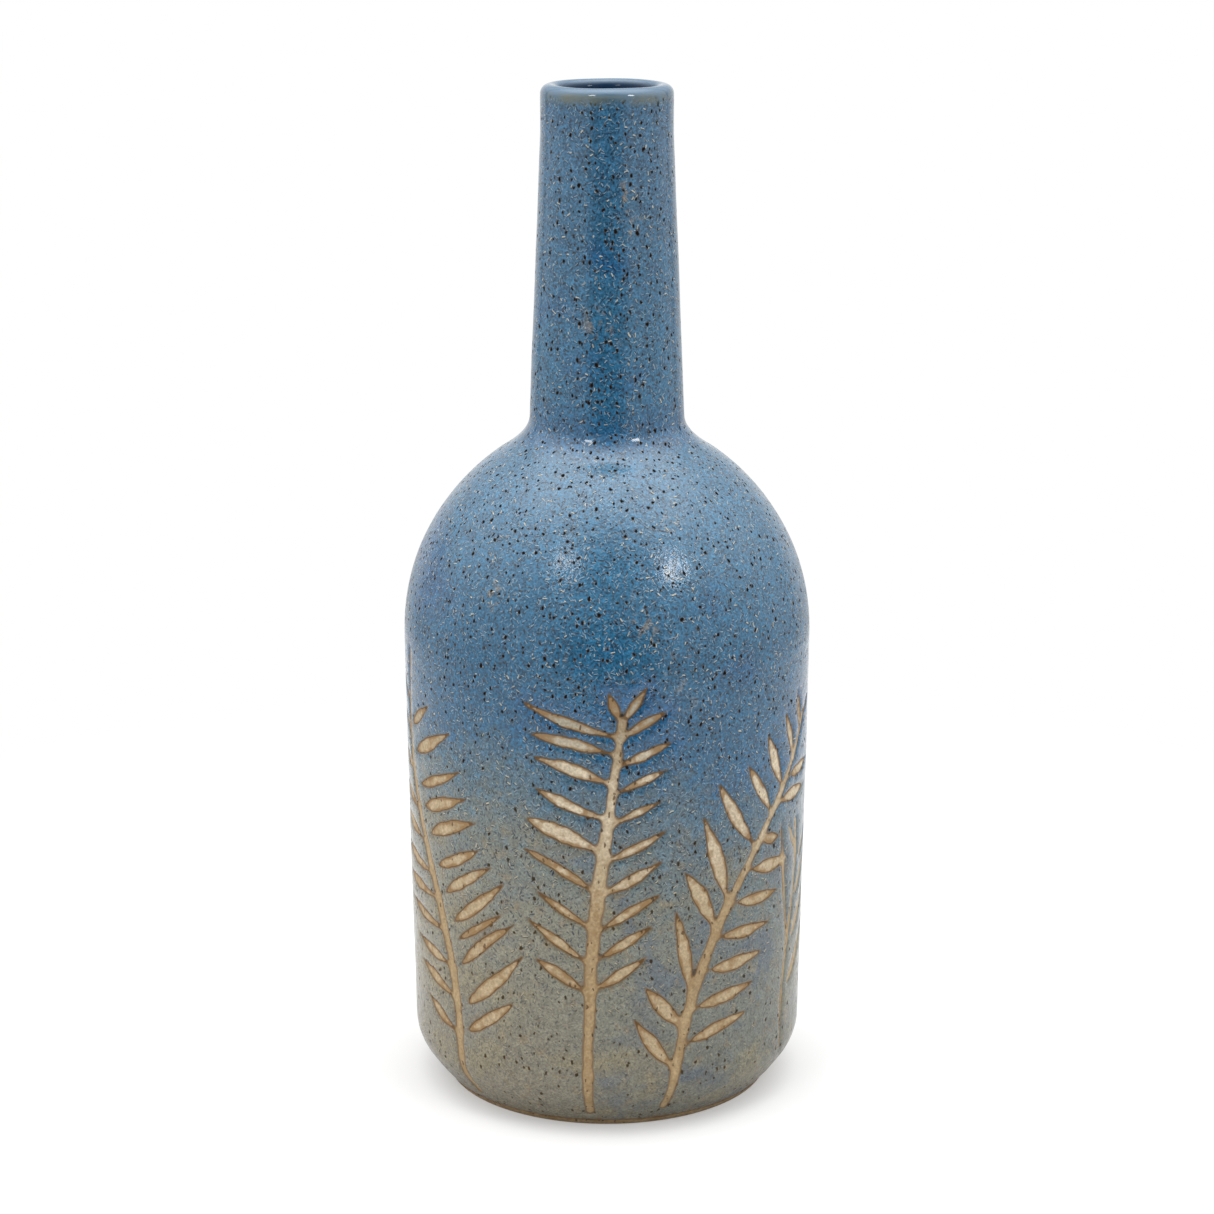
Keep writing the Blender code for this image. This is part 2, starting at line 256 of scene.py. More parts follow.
def smoothstep(low, high, value):
    t = np.clip((value - low) / (high - low), 0, 1)
    return t * t * (3 - 2 * t)


def rounded(before, corner, after, legs, count):
    """A corner of an outline, rounded by a quadratic curve.

    The legs are how far before the corner the curve starts, and how far after it the curve ends.
    """
    before, corner, after = np.array(before), np.array(corner), np.array(after)
    start = corner + (before - corner) / np.linalg.norm(before - corner) * legs[0]
    end = corner + (after - corner) / np.linalg.norm(after - corner) * legs[1]
    t = np.linspace(0, 1, count)[:, None]
    return start * (1 - t) ** 2 + corner * 2 * t * (1 - t) + end * t**2


def line(start, end, count):
    """Points from start towards end, which it leaves out."""
    t = np.linspace(0, 1, count, endpoint=False)[:, None]
    return np.array(start) * (1 - t) + np.array(end) * t


def dome(angle, depth=0.0):
    """Points of the dome, or of a surface inside it, at angles up from its widest line."""
    cosine = (NECK_BASE_RADIUS - BODY_RADIUS + DOME_SPAN) / DOME_SPAN
    axis = (SHOULDER_HEIGHT - BODY_HEIGHT) / math.sqrt(1 - cosine**2)
    radius = BODY_RADIUS - DOME_SPAN + (DOME_SPAN - depth) * np.cos(angle)
    return np.stack([radius, BODY_HEIGHT + (axis - depth) * np.sin(angle)], -1)


def dome_angle(radius, depth=0.0):
    return math.acos((radius - BODY_RADIUS + DOME_SPAN) / (DOME_SPAN - depth))


def wall(height):
    """Points of the wall between the dome's widest line and the bevel."""
    t = (BODY_HEIGHT - height) / (BODY_HEIGHT - BEVEL_HEIGHT)
    radius = BODY_RADIUS + (WALL_FOOT_RADIUS - BODY_RADIUS) * t**WALL_POWER
    return np.stack([radius, height], -1)


def bore(height):
    """Radius of the neck's finished bore."""
    t = (HEIGHT - height) / (HEIGHT - SHOULDER_HEIGHT)
    return LIP_RADIUS - LIP_WALL + (NECK_BASE_RADIUS - NECK_WALL - LIP_RADIUS + LIP_WALL) * t


def outline():
    """The finished surface as (radius, height): from in the mouth, over the lip, to the table."""
    roll = LIP_WALL / 2
    turn = np.linspace(0, math.pi, 21)
    lip = np.stack([-np.cos(turn), np.sin(turn)], -1) * roll + (LIP_RADIUS - roll, HEIGHT - roll)
    mouth_end = HEIGHT - MOUTH_GLAZE
    mouth = line((bore(mouth_end), mouth_end), lip[0], 8)
    band = (LIP_RADIUS, HEIGHT - LIP_BAND)
    start = dome_angle(NECK_BASE_RADIUS) - SHOULDER_SPREAD / DOME_SPAN
    base = (NECK_BASE_RADIUS, SHOULDER_HEIGHT)
    crease = rounded(band, base, dome(start), (SHOULDER_ROUND, SHOULDER_SPREAD), 15)
    neck = np.concatenate([line(lip[-1], band, 8), line(band, crease[0], 44)])
    side = dome(np.linspace(start, 0, 61))[1:]
    heights = np.linspace(BODY_HEIGHT, BEVEL_HEIGHT + BEVEL_ROUND, 60)
    corner = (WALL_FOOT_RADIUS, BEVEL_HEIGHT)
    foot = (BASE_RADIUS, 0.0)
    bevel = rounded(wall(heights[-1]), corner, foot, (BEVEL_ROUND, BEVEL_ROUND), 9)
    slope = np.concatenate([line(bevel[-1], foot, 8), [foot]])[1:]
    return np.concatenate([mouth, lip[:-1], neck, crease, side, wall(heights[1:-1]), bevel, slope])


def normals(profile):
    """Outward normals of a profile that runs down its outer side."""
    along = np.gradient(profile, axis=0)
    out = np.stack([-along[:, 1], along[:, 0]], -1)
    return out / np.linalg.norm(out, axis=1, keepdims=True)


OUTLINE = outline()
OUTLINE_NORMALS = normals(OUTLINE)


def hollow(depth):
    """The clay's inner surface, or one that deep inside it: from the mouth's glaze to the floor."""
    top = HEIGHT - MOUTH_GLAZE
    floor = FOOT_RECESS + FLOOR
    throat = bore(SHOULDER_HEIGHT) + CLAY_DEPTH - depth
    inside = CLAY_DEPTH + BODY_WALL + depth
    arch = dome(np.linspace(dome_angle(throat, inside), 0, 40), inside)
    foot = (wall(np.array(floor))[0] - inside, floor + depth)
    corner = rounded(arch[-1], foot, (0, floor + depth), (FLOOR_ROUND, FLOOR_ROUND), 9)
    tube = line((bore(top) + CLAY_DEPTH - depth, top), arch[0], 30)
    return np.concatenate([tube, arch, corner, [(0, floor + depth)]])


def uneven(angle, height):
    """How far a hand-thrown surface falls short of the true turned one."""
    waves = sum(np.sin(turns * angle + rise * height + phase) for turns, rise, phase in WAVES)
    return UNEVEN * (1 + waves / len(WAVES))


def side_at(height):
    """Radius of the outline's outer side at heights up to the sheet's top, and the normal there."""
    body = OUTLINE[:, 1][::-1]
    low = slice(0, np.argmax(body >= SHEET_TOP + FAR))
    values = np.concatenate([OUTLINE[:, :1], OUTLINE_NORMALS], axis=1)[::-1][low]
    return [np.interp(height, body[low], value) for value in values.T]


def side_point(height):
    """Point of the outline's outer side at a height up to the sheet's top."""
    return np.array([side_at(height)[0], height])


def normals_at(profile):
    """Normals of the outline where it is nearest to the points of a profile that follows it."""
    gaps = np.linalg.norm(profile[:, None] - OUTLINE[None], axis=-1)
    return OUTLINE_NORMALS[gaps.argmin(axis=1)]


def wrapped(x, y, depth):
    """Points of the sheet on the vase, that deep under the true form."""
    radius, out_r, out_z = side_at(y)
    angle = x / BODY_RADIUS
    depth = depth + uneven(angle, y)
    r = radius - depth * out_r
    return np.stack([r * np.sin(angle), -r * np.cos(angle), y - depth * out_z], -1)


def sheet_columns():
    return (SEAM + np.linspace(0, 2 * math.pi, COLUMNS + 1)) * BODY_RADIUS


def revolved(profile, out, depth, flip=False):
    """Points and quads of a profile swept round the axis, each row that deep under it."""
    angle = sheet_columns()[:-1] / BODY_RADIUS
    height = profile[:, 1][:, None]
    drop = depth + uneven(angle[None], height)
    r = np.maximum(profile[:, 0][:, None] - drop * out[:, 0][:, None], 0)
    z = np.broadcast_to(height - drop * out[:, 1][:, None], r.shape)
    points = np.stack([r * np.sin(angle), -r * np.cos(angle), z], -1).reshape(-1, 3)
    row = np.arange(len(profile) - 1)[:, None] * COLUMNS
    column = np.arange(COLUMNS)
    after = (column + 1) % COLUMNS
    quads = np.stack([row + column, row + COLUMNS + column, row + COLUMNS + after, row + after], -1)
    quads = quads.reshape(-1, 4)
    return points, quads[:, ::-1] if flip else quads


def strokes(sprig, rng):
    """The sprig's stem and leaves as paths on the sheet with their half widths."""
    stem = np.array(sprig.stem)
    height = np.linspace(stem[0, 1], stem[-1, 1], STEM_POINTS)
    angle = np.interp(height, stem[:, 1], stem[:, 0])
    inner = slice(STEM_SMOOTHING, -STEM_SMOOTHING)
    window = np.ones(2 * STEM_SMOOTHING + 1) / (2 * STEM_SMOOTHING + 1)
    padded = np.pad(angle, STEM_SMOOTHING, mode="edge")
    angle[inner] = np.convolve(padded, window, mode="valid")[inner]
    width = np.interp(np.linspace(0, 1, STEM_POINTS), *np.array(sprig.widths).T)
    yield np.stack([np.radians(angle) * BODY_RADIUS, height * MM], -1), width * MM / 2
    t = np.linspace(0, 1, LEAF_POINTS)
    for leaves, stalk in zip((sprig.left, sprig.right), sprig.stalks):
        form = np.interp(t, *np.array(((0, stalk), (STALK, stalk)) + LEAF_FORM).T)
        for root, length, lean, width in leaves:
            bend = rng.uniform(-LEAF_BEND, LEAF_BEND)
            heading = np.radians(lean + bend * (2 * t - 1))
            step = length * MM / (LEAF_POINTS - 1)
            steps = np.stack([np.sin(heading), np.cos(heading)], -1)[:-1] * step
            start = (math.radians(np.interp(root, height, angle)) * BODY_RADIUS, root * MM)
            path = np.concatenate([[start], start + np.cumsum(steps, axis=0)])
            yield path, form * width * MM / 2


def stroke_distance(x, y, path, half):
    """Distance of sheet points from a stroke's edge, negative inside it."""
    step = np.diff(path, axis=0)
    to = np.stack([x, y], -1)[..., None, :] - path[:-1]
    t = np.clip((to * step).sum(-1) / (step**2).sum(-1), 0, 1)
    gap = np.linalg.norm(to - t[..., None] * step, axis=-1)
    return (gap - half[:-1] - t * np.diff(half)).min(-1)


def smooth_noise(shape, length, rng):
    """Random field with a spread of 1 and features of that length, the same at both sides."""
    rows, columns = shape
    fy = np.fft.fftfreq(rows)[:, None]
    fx = np.fft.fftfreq(columns)[None]
    cells = length / CELL
    keep = np.exp(-((fx**2 + fy**2) * (cells * math.pi / 2) ** 2))
    field = np.fft.ifft2(np.fft.fft2(rng.standard_normal(shape)) * keep).real
    return field / field.std()


@dataclass
class Field:
    """Signed distance from the sprigs' edges on the sheet, in metres, positive in the glaze.

    Stems holds the distance from the stems alone.
    """

    xs: np.ndarray
    ys: np.ndarray
    values: np.ndarray
    stems: np.ndarray

    def read(self, grid, x, y):
        """A grid's values at points of the sheet."""
        i = np.clip((x - self.xs[0]) / CELL_X, 0, len(self.xs) - 1.001)
        j = np.clip((y - self.ys[0]) / CELL, 0, len(self.ys) - 1.001)
        i0, j0 = i.astype(int), j.astype(int)
        u, v = i - i0, j - j0
        low = grid[j0, i0] * (1 - u) + grid[j0, i0 + 1] * u
        high = grid[j0 + 1, i0] * (1 - u) + grid[j0 + 1, i0 + 1] * u
        return low * (1 - v) + high * v

    def at(self, x, y):
        """Distances at points of the sheet, also counting the coat's lower edge."""
        return np.minimum(self.read(self.values, x, y), y - GLAZE_STOP)

    def stem_at(self, x, y):
        """How much points of the sheet are stem: 1 on a stem, 0 well out on a leaf."""
        return 1 - smoothstep(0, WEB, self.read(self.stems, x, y))


def draw_field():
    """All sprigs on one field, with strokes that run together softly and edges a little uneven."""
    rng = np.random.default_rng(SEED)
    xs = SEAM * BODY_RADIUS + CELL_X * np.arange(SHEET_CELLS + 1)
    ys = np.arange(GLAZE_STOP, SHEET_TOP + CELL, CELL)
    values = np.full((len(ys), len(xs)), FAR)
    stems = values.copy()
    for sprig in SPRIGS:
        for number, (path, half) in enumerate(strokes(sprig, rng)):
            (x0, y0), (x1, y1) = path.min(0) - FAR, path.max(0) + FAR
            i = slice(*np.searchsorted(xs, [x0, x1]))
            j = slice(*np.searchsorted(ys, [y0, y1]))
            near = stroke_distance(*np.meshgrid(xs[i], ys[j]), path, half)
            have = values[j, i]
            overlap = np.maximum(WEB - np.abs(have - near), 0) / WEB
            values[j, i] = np.minimum(have, near) - overlap**2 * WEB / 4
            if number == 0:
                stems[j, i] = np.minimum(stems[j, i], near)
    wobble = smooth_noise((len(ys), SHEET_CELLS), WOBBLE_LENGTH, rng)
    values[:, :-1] += EDGE_WOBBLE * wobble
    values[:, -1] = values[:, 0]
    return Field(xs, ys, values, stems)


def contour(field, level):
    """Points and segments of the sheet where the field crosses a level, by marching squares."""
    f = field.values - level
    inside = f < 0
    across = inside[:, :-1] != inside[:, 1:]
    up = inside[:-1] != inside[1:]
    across_id = np.full(across.shape, -1)
    across_id[across] = np.arange(across.sum())
    up_id = np.full(up.shape, -1)
    up_id[up] = across.sum() + np.arange(up.sum())
    j, i = np.nonzero(across)
    t = np.clip(f[j, i] / (f[j, i] - f[j, i + 1]), CUT_MARGIN, 1 - CUT_MARGIN)
    on_rows = np.stack([field.xs[i] + t * CELL_X, field.ys[j]], -1)
    j, i = np.nonzero(up)
    t = np.clip(f[j, i] / (f[j, i] - f[j + 1, i]), CUT_MARGIN, 1 - CUT_MARGIN)
    on_columns = np.stack([field.xs[i], field.ys[j] + t * CELL], -1)
    cells = np.stack([across_id[:-1], up_id[:, 1:], across_id[1:], up_id[:, :-1]], -1)
    hits = (cells >= 0).sum(-1)
    single = np.sort(cells[hits == 2], axis=1)[:, 2:]
    double = cells[hits == 4].reshape(-1, 2)
    return np.concatenate([on_rows, on_columns]), np.concatenate([single, double])


def scattered(spacing):
    """Points of the whole sheet in staggered rows, clear of its border."""
    end = (SEAM + 2 * math.pi) * BODY_RADIUS - spacing / 2
    across = np.arange(SEAM * BODY_RADIUS + spacing, end, spacing)
    rows = np.arange(GLAZE_STOP + spacing, SHEET_TOP - spacing / 2, spacing * math.sqrt(3) / 2)
    x, y = np.meshgrid(across, rows)
    x[1::2] += spacing / 2
    inner = x < end
    return np.stack([x[inner], y[inner]], -1)


def cut_sheet(field, rings, glaze_spacing, clay_spacing):
    """Triangles of the sheet with the sprigs' edges among their edges.

    The rings are distances from those edges at which rows of points follow them; beyond the rings
    the points lie at one spacing in the glaze and another in the clay. Returns the points, the
    triangles and the field's value at each point.
    """
    columns = sheet_columns()
    sides = np.arange(GLAZE_STOP, SHEET_TOP, SEAM_STEP)[1:-1]
    border = np.concatenate([
        np.stack([columns, np.full(COLUMNS + 1, GLAZE_STOP)], -1),
        np.stack([np.full(len(sides), columns[-1]), sides], -1),
        np.stack([columns[::-1], np.full(COLUMNS + 1, SHEET_TOP)], -1),
        np.stack([np.full(len(sides), columns[0]), sides[::-1]], -1),
    ])
    loop = np.arange(len(border))
    edges = [np.stack([loop, np.roll(loop, -1)], -1)]
    cut, segments = contour(field, 0.0)
    edges.append(segments + len(border))
    points = [border, cut] + [contour(field, level)[0] for level in rings]
    for spacing, sign in ((glaze_spacing, 1), (clay_spacing, -1)):
        free = scattered(spacing)
        reach = max([sign * level for level in rings] + [0]) + spacing / 2
        points.append(free[sign * field.at(*free.T) > reach])
    flat = [Vector(p) for p in np.concatenate(points)]
    made = delaunay_2d_cdt(flat, np.concatenate(edges).tolist(), [], 0, 1e-6, False)
    xy = np.array([tuple(p) for p in made[0]])
    distance = field.at(*xy.T)
    on_edge = np.abs(distance) < CELL / 8
    distance[on_edge] = 0
    return xy, np.array(made[2]), distance


def in_glaze(field, xy, triangles):
    return field.at(*xy[triangles].mean(axis=1).T) > 0


def new_object(name, data):
    """An object in the scene."""
    obj = bpy.data.objects.new(name, data)
    bpy.context.scene.collection.objects.link(obj)
    return obj


def mesh_piece(name, parts, material):
    """An object from parts (points, faces, marks), welded where they meet.

    Marks are named values at the points, or one value for them all, that the material reads.
    """
    points = np.concatenate([p for p, _, _ in parts])
    start = np.cumsum([0] + [len(p) for p, _, _ in parts])
    faces = [tuple(f) for (_, part, _), first in zip(parts, start) for f in (part + first).tolist()]
    mesh = bpy.data.meshes.new(name)
    mesh.from_pydata(points.tolist(), [], faces)
    for mark in parts[0][2]:
        values = np.concatenate([np.broadcast_to(marks[mark], len(p)) for p, _, marks in parts])
        attribute = mesh.attributes.new(mark, "FLOAT", "POINT")
        attribute.data.foreach_set("value", values.astype(np.float32))
    weld = bmesh.new()
    weld.from_mesh(mesh)
    bmesh.ops.remove_doubles(weld, verts=weld.verts, dist=WELD)
    loose = [v for v in weld.verts if not v.link_faces]
    bmesh.ops.delete(weld, geom=loose, context="VERTS")
    weld.to_mesh(mesh)
    weld.free()
    mesh.shade_smooth()
    mesh.materials.append(material)
    return new_object(name, mesh)


def make_glaze(field, material):
    """The coat: from the foot over the lip into the mouth, open where the sprigs are."""
    xy, triangles, distance = cut_sheet(field, GLAZE_RINGS, GLAZE_SPACING, HIDDEN_SPACING)
    triangles = triangles[in_glaze(field, xy, triangles)]
    depth = EDGE_DROP * (1 - smoothstep(0, EDGE_WIDTH, distance))
    sheet = (wrapped(*xy.T, depth), triangles, {"edge": distance / MM})
    profile = np.concatenate([OUTLINE[OUTLINE[:, 1] > SHEET_TOP], [side_point(SHEET_TOP)]])
    upper = revolved(profile, normals_at(profile), 0.0)
    return mesh_piece("glaze_coat", [sheet, (*upper, {"edge": FAR / MM})], material)


def clay_shoulder(throat, top):
    """Points and quads of the clay under the coat: from its top, over the dome, to the sheet."""
    start = dome_angle(throat, CLAY_DEPTH)
    end = math.asin((SHEET_TOP - BODY_HEIGHT) / (dome(math.pi / 2)[1] - BODY_HEIGHT))
    seat = dome(np.linspace(start, end, 40))
    seat_normals = normals(seat)
    seat[-1] = side_point(SHEET_TOP)
    seat_normals[-1] = side_at(SHEET_TOP)[1:]
    profile = np.concatenate([top, seat])
    return revolved(profile, np.pad(seat_normals, ((1, 0), (0, 0))), CLAY_DEPTH)


def clay_foot():
    """Points and quads of the bare foot, its ring and its recess, and their marks."""
    ring = BASE_RADIUS - EDGE_DROP - FOOT_RING
    foot = np.array([
        side_point(GLAZE_STOP),
        (BASE_RADIUS - EDGE_DROP, 0.0),
        (ring, 0.0),
        (ring - FOOT_RECESS, FOOT_RECESS),
        (0.0, FOOT_RECESS),
    ])
    out = normals_at(foot)
    out[1:] = 0
    bare = np.repeat(foot[:, 1] - GLAZE_STOP, COLUMNS) / MM
    bare[2 * COLUMNS :] = -FAR / MM
    return (*revolved(foot, out, EDGE_DROP), {"edge": bare, "stem": 1.0})


def make_clay(field, material):
    """The clay body: bare in the sprigs and at the foot, and under the coat elsewhere."""
    xy, triangles, distance = cut_sheet(field, CLAY_RINGS, HIDDEN_SPACING, CLAY_SPACING)
    under = (CLAY_DEPTH - EDGE_DROP) * smoothstep(0, EDGE_WIDTH, distance)
    marks = {"edge": distance / MM, "stem": field.stem_at(*xy.T)}
    sheet = (wrapped(*xy.T, EDGE_DROP + under), triangles, marks)
    hidden = {"edge": FAR / MM, "stem": 0.0}
    throat = bore(SHOULDER_HEIGHT) + CLAY_DEPTH
    inner = hollow(0.0)
    inner = inner[np.argmax(inner[:, 0] > throat + 1e-9) :]
    shoulder = clay_shoulder(throat, inner[:1])
    inside = revolved(inner[::-1], np.zeros_like(inner), 0.0)
    parts = [sheet, (*shoulder, hidden), (*inside, hidden), clay_foot()]
    return mesh_piece("clay_body", parts, material)


def make_lining(material):
    """The poured lining, from the mouth's glaze down over the floor."""
    face = hollow(CLAY_DEPTH)
    points, quads = revolved(face, np.zeros_like(face), 0.0, flip=True)
    return mesh_piece("lining", [(points, quads, {})], material)


# Smallest spots and dashes, as shares of the largest
LEAST_SPOT = 0.45
LEAST_DASH = 0.3


class Graph:
    """The nodes of a material or a world, with short names for those used here."""

    def __init__(self, owner, coords="Object"):
        owner.use_nodes = True
        self.owner = owner
        self.tree = owner.node_tree
        self.shader = self.tree.nodes.get("Principled BSDF")
        self.coords = self.add("TexCoord").outputs[coords]

    def add(self, kind, inputs=(), **settings):
        """A shader node of a kind; an input is a value or the socket that feeds it."""
        node = self.tree.nodes.new("ShaderNode" + kind)
        for name, value in settings.items():
            setattr(node, name, value)
        for name, value in dict(inputs).items():
            self.feed(node.inputs[name], value)
        return node

    def feed(self, socket, value):
        if isinstance(value, bpy.types.NodeSocket):
            self.tree.links.new(value, socket)
        elif socket.type == "RGBA":
            socket.default_value = (*value, 1.0)
        else:
            socket.default_value = value

    def paint(self, inputs):
        """Feeds the shader's own inputs."""
        for name, value in inputs.items():
            self.feed(self.shader.inputs[name], value)

    def output(self, node, name):
        """Makes a shader node the surface of the material or the world."""
        self.tree.links.new(node.outputs[0], self.tree.nodes[name].inputs["Surface"])

    def mark(self, name):
        """A value that the mesh holds at its points."""
        return self.add("Attribute", attribute_name=name).outputs["Fac"]

    def axes(self):
        """The coordinates one by one, by the name of their axis."""
        return self.add("SeparateXYZ", {"Vector": self.coords}).outputs

    def maths(self, operation, a, b=0.0, c=0.0):
        return self.add("Math", {0: a, 1: b, 2: c}, operation=operation).outputs[0]

    def times(self, first, *others):
        """The product of values."""
        for other in others:
            first = self.maths("MULTIPLY", first, other)
        return first

    def most(self, first, *others):
        """The greatest of values."""
        for other in others:
            first = self.maths("MAXIMUM", first, other)
        return first

    def sway(self, value, noise, reach):
        """A value moved up and down by a noise, over that reach."""
        return self.maths("MULTIPLY_ADD", self.maths("SUBTRACT", noise, 0.5), reach, value)

    def blend(self, factor, a, b):
        """A mix of two shader nodes."""
        return self.add("MixShader", {0: factor, 1: a.outputs[0], 2: b.outputs[0]})

    def noise(self, scale, detail=2.0, distortion=0.0, coords=None):
        inputs = {"Vector": coords or self.coords, "Scale": scale}
        inputs |= {"Detail": detail, "Distortion": distortion}
        return self.add("TexNoise", inputs).outputs["Fac"]

    def step(self, value, low, high):
        """Smooth step from 0 at low to 1 at high."""
        inputs = {"Value": value, "From Min": low, "From Max": high}
        node = self.add("MapRange", inputs, interpolation_type="SMOOTHSTEP")
        return node.outputs["Result"]

    def span(self, value, low, high):
        """A value from 0 to 1 spread from low to high."""
        inputs = {"Value": value, "From Min": 0.0, "From Max": 1.0, "To Min": low, "To Max": high}
        return self.add("MapRange", inputs).outputs["Result"]

    def ragged(self, value, scale, detail, reach):
        """A value made uneven by noise, up to that reach either way."""
        return self.maths("ADD", value, self.span(self.noise(scale, detail), -reach, reach))

    def mix(self, factor, a, b, blend="MIX"):
        inputs = {0: factor, 6: a, 7: b}
        return self.add("Mix", inputs, data_type="RGBA", blend_type=blend).outputs[2]

    def grey(self, value):
        return self.add("CombineColor", {0: value, 1: value, 2: value}).outputs[0]

    def ramp(self, value, stops):
        node = self.add("ValToRGB", {"Fac": value})
        stored = node.color_ramp.elements
        for i, (place, colour) in enumerate(stops):
            stop = stored[i] if i < len(stored) else stored.new(place)
            stop.position = place
            stop.color = (*colour, 1.0)
        return node.outputs["Color"]

    def vector(self, operation, a, b=(0.0, 0.0, 0.0), scale=1.0):
        return self.add("VectorMath", {0: a, 1: b, 3: scale}, operation=operation).outputs

    def frayed(self, amount, scale, squeeze=0.7):
        """The coordinates, shaken and squeezed, so that round shapes come out uneven and taller."""
        inputs = {"Vector": self.coords, "Scale": scale, "Detail": 1.0}
        shake = self.add("TexNoise", inputs).outputs["Color"]
        centred = self.vector("SUBTRACT", shake, (0.5, 0.5, 0.5))[0]
        shaken = self.vector("ADD", self.coords, self.vector("SCALE", centred, scale=amount)[0])[0]
        return self.vector("MULTIPLY", shaken, (1.0, 1.0, squeeze))[0]

    def spots(self, spacing, radius, share, coords):
        """Mask of scattered spots of mixed sizes, up to that radius, in that share of the cells."""
        cells = self.add("TexVoronoi", {"Vector": coords, "Scale": 1 / spacing}).outputs
        chance = self.add("SeparateColor", {"Color": cells["Color"]}).outputs
        size = self.span(chance["Green"], LEAST_SPOT * radius / spacing, radius / spacing)
        near = self.maths("DIVIDE", cells["Distance"], size)
        chosen = self.maths("LESS_THAN", chance["Red"], share)
        return self.times(self.step(near, 1.1, 0.75), chosen)

    def flat(self, a):
        """The part of a vector that lies in the surface."""
        normal = self.add("NewGeometry").outputs["Normal"]
        return self.vector("SUBTRACT", a, self.vector("PROJECT", a, normal)[0])[0]

    def dashes(self, spacing, length, width, share, coords):
        """Masks of short bars that lie in the surface at all angles, and of their shadows."""
        cells = self.add("TexVoronoi", {"Vector": coords, "Scale": 1 / spacing}).outputs
        dice = self.add("TexWhiteNoise", {"Vector": cells["Position"]}).outputs
        chance = self.add("SeparateColor", {"Color": dice["Color"]}).outputs
        chosen = self.times(self.maths("LESS_THAN", chance["Red"], share), chance["Blue"])
        half = self.span(chance["Green"], LEAST_DASH * length / 2, length / 2)
        back = self.times(half, -1.0)
        along = self.vector("SUBTRACT", cells["Color"], (0.5, 0.5, 0.5))[0]
        along = self.vector("NORMALIZE", self.flat(along))[0]
        away = self.vector("SUBTRACT", coords, cells["Position"])[0]
        masks = []
        for drop in (0.0, width):
            lowered = self.flat(self.vector("ADD", away, (0.0, 0.0, drop))[0])
            reach = self.vector("DOT_PRODUCT", lowered, along)["Value"]
            inputs = {"Value": reach, "Min": back, "Max": half}
            reach = self.add("Clamp", inputs).outputs[0]
            on_bar = self.vector("SCALE", along, scale=reach)[0]
            across = self.vector("LENGTH", self.vector("SUBTRACT", lowered, on_bar)[0])["Value"]
            masks.append(self.times(self.step(across, width * 0.60, width * 0.35), chosen))
        return masks

    def bump(self, height, depth):
        inputs = {"Height": height, "Distance": depth, "Strength": 1.0}
        return self.add("Bump", inputs).outputs["Normal"]


# Glaze colours up the vase, as shares of its height
GLAZE_BY_HEIGHT = (
    (0.00, (0.216, 0.190, 0.130)),
    (0.06, (0.196, 0.176, 0.122)),
    (0.20, (0.214, 0.205, 0.150)),
    (0.27, (0.148, 0.174, 0.158)),
    (0.33, (0.068, 0.136, 0.182)),
    (0.39, (0.014, 0.100, 0.198)),
    (0.66, (0.023, 0.132, 0.243)),
    (0.95, (0.030, 0.118, 0.218)),
)
# Greener grey for the low right side, darker too: partly the glaze, partly painted shade
RIGHT_TINT_AND_SHADE = (0.70, 0.80, 0.92)
DEEP_BLUE = (0.008, 0.085, 0.215)
POOLED_BLUE = (0.080, 0.112, 0.150)
RUST = (0.230, 0.165, 0.085)
OCHRE = (0.240, 0.200, 0.105)
OLIVE = (0.120, 0.142, 0.116)
LIP_BLUE = (0.054, 0.136, 0.228)
# Painted shade: the near-black that the glaze inside the mouth is painted
THROAT_SHADE = (0.003, 0.024, 0.064)
PALE_FLECK = (0.530, 0.500, 0.400)
TAN_FLECK = (0.500, 0.420, 0.240)
PALE_BLUE = (0.260, 0.370, 0.450)
TAN_THREAD = (0.350, 0.330, 0.245)
# Dark threads in the glaze, and the painted shadows under the dashes
DARK_THREAD_AND_SHADOW = (0.006, 0.018, 0.034)
IRON_EDGE = (0.066, 0.042, 0.020)
IRON = (0.011, 0.008, 0.006)
BURNT_EDGE = (0.062, 0.048, 0.030)
TOASTED_EDGE = (0.160, 0.098, 0.044)

# From where to where the glaze changes: into the thin low coat, the full high one, the plain lip,
# the olive band under it, the painted shade in the throat and the calmer neck
LOW_COAT = (0.095, 0.060)
HIGH_COAT = (0.085, 0.115)
PLAIN_LIP = (0.2470, 0.2486)
OLIVE_LOWER = (0.2452, 0.2474)
OLIVE_UPPER = (0.2492, 0.2480)
THROAT_RADIUS = (0.0127, 0.0114)
THROAT_HEIGHT = (0.230, 0.238)
CALM_NECK = (0.168, 0.182)
# The low coat reaches higher at the left, by this share of the way across
COAT_SLANT = 0.22
# The low right side, where the strokes are thin and paler
WORN_X = (0.0420, 0.0440)
WORN_HEIGHT = (0.077, 0.071)
SPECK_SPACING = 1.5 * MM
GLAZE_RELIEF = 0.00030


class Carved(Graph):
    """A material that the sprigs are carved in, which knows how far a point is from their edges."""

    def __init__(self, name):
        super().__init__(bpy.data.materials.new(name))
        place = self.axes()
        self.x, self.height = place["X"], place["Z"]
        self.edge = self.mark("edge")
        self.worn = self.times(self.step(self.x, *WORN_X), self.step(self.height, *WORN_HEIGHT))


